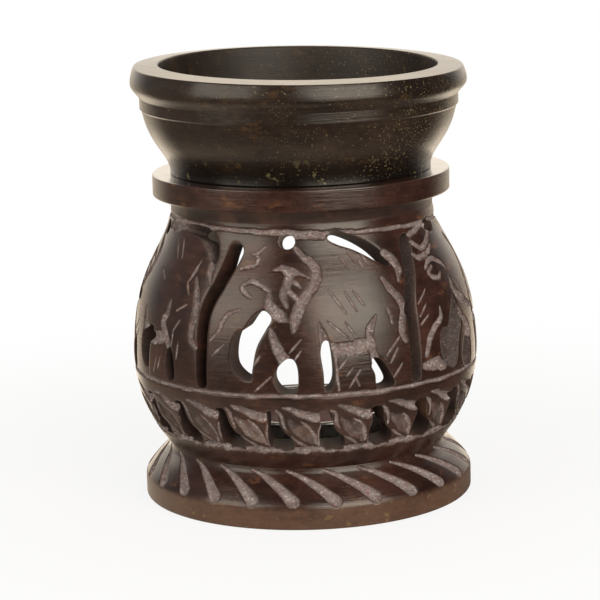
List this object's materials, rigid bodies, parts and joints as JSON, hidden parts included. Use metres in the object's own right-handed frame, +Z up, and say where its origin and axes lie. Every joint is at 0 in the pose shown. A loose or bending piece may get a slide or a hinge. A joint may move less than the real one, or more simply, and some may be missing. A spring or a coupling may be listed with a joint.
{
  "type": "essential oil burner",
  "caption": "Carved and pierced soapstone oil burner: a lift-off turned dish on a hollow body that holds a tealight behind an arched door.",
  "frame": {"origin": "centre of the foot's flat underside, on the axis about which the body and the dish are turned", "axes": "+Z up along the turning axis; the candle door faces +Y, the middle carved panel faces -Y, +X is to the right when the carved panel is looked at"},
  "size_m": [0.08, 0.0785, 0.1],
  "materials": {
    "soapstone_body": "dyed and polished, with matte cuts",
    "soapstone_dish": "dark, polished, with ochre specks",
    "cup_aluminium": "thin pressed sheet",
    "candle_wax": "smooth wax",
    "wick_cotton": "waxed braided cotton",
    "sustainer_tin": "tinned sheet"
  },
  "bodies": {
    "burner": {"body": "soapstone_body"},
    "dish": {"dish": "soapstone_dish"},
    "tealight": {"tealight_cup": "cup_aluminium", "tealight_wax": "candle_wax", "wick": "wick_cotton", "wick_sustainer": "sustainer_tin"}
  },
  "joints": [
    {"name": "dish_lift", "type": "slide", "parent": "burner", "child": "dish", "axis": [0, 0, 1], "range_m": [0, 0.04]},
    {"name": "tealight_lift", "type": "slide", "parent": "burner", "child": "tealight", "axis": [0, 0, 1], "range_m": [0, 0.015]}
  ]
}
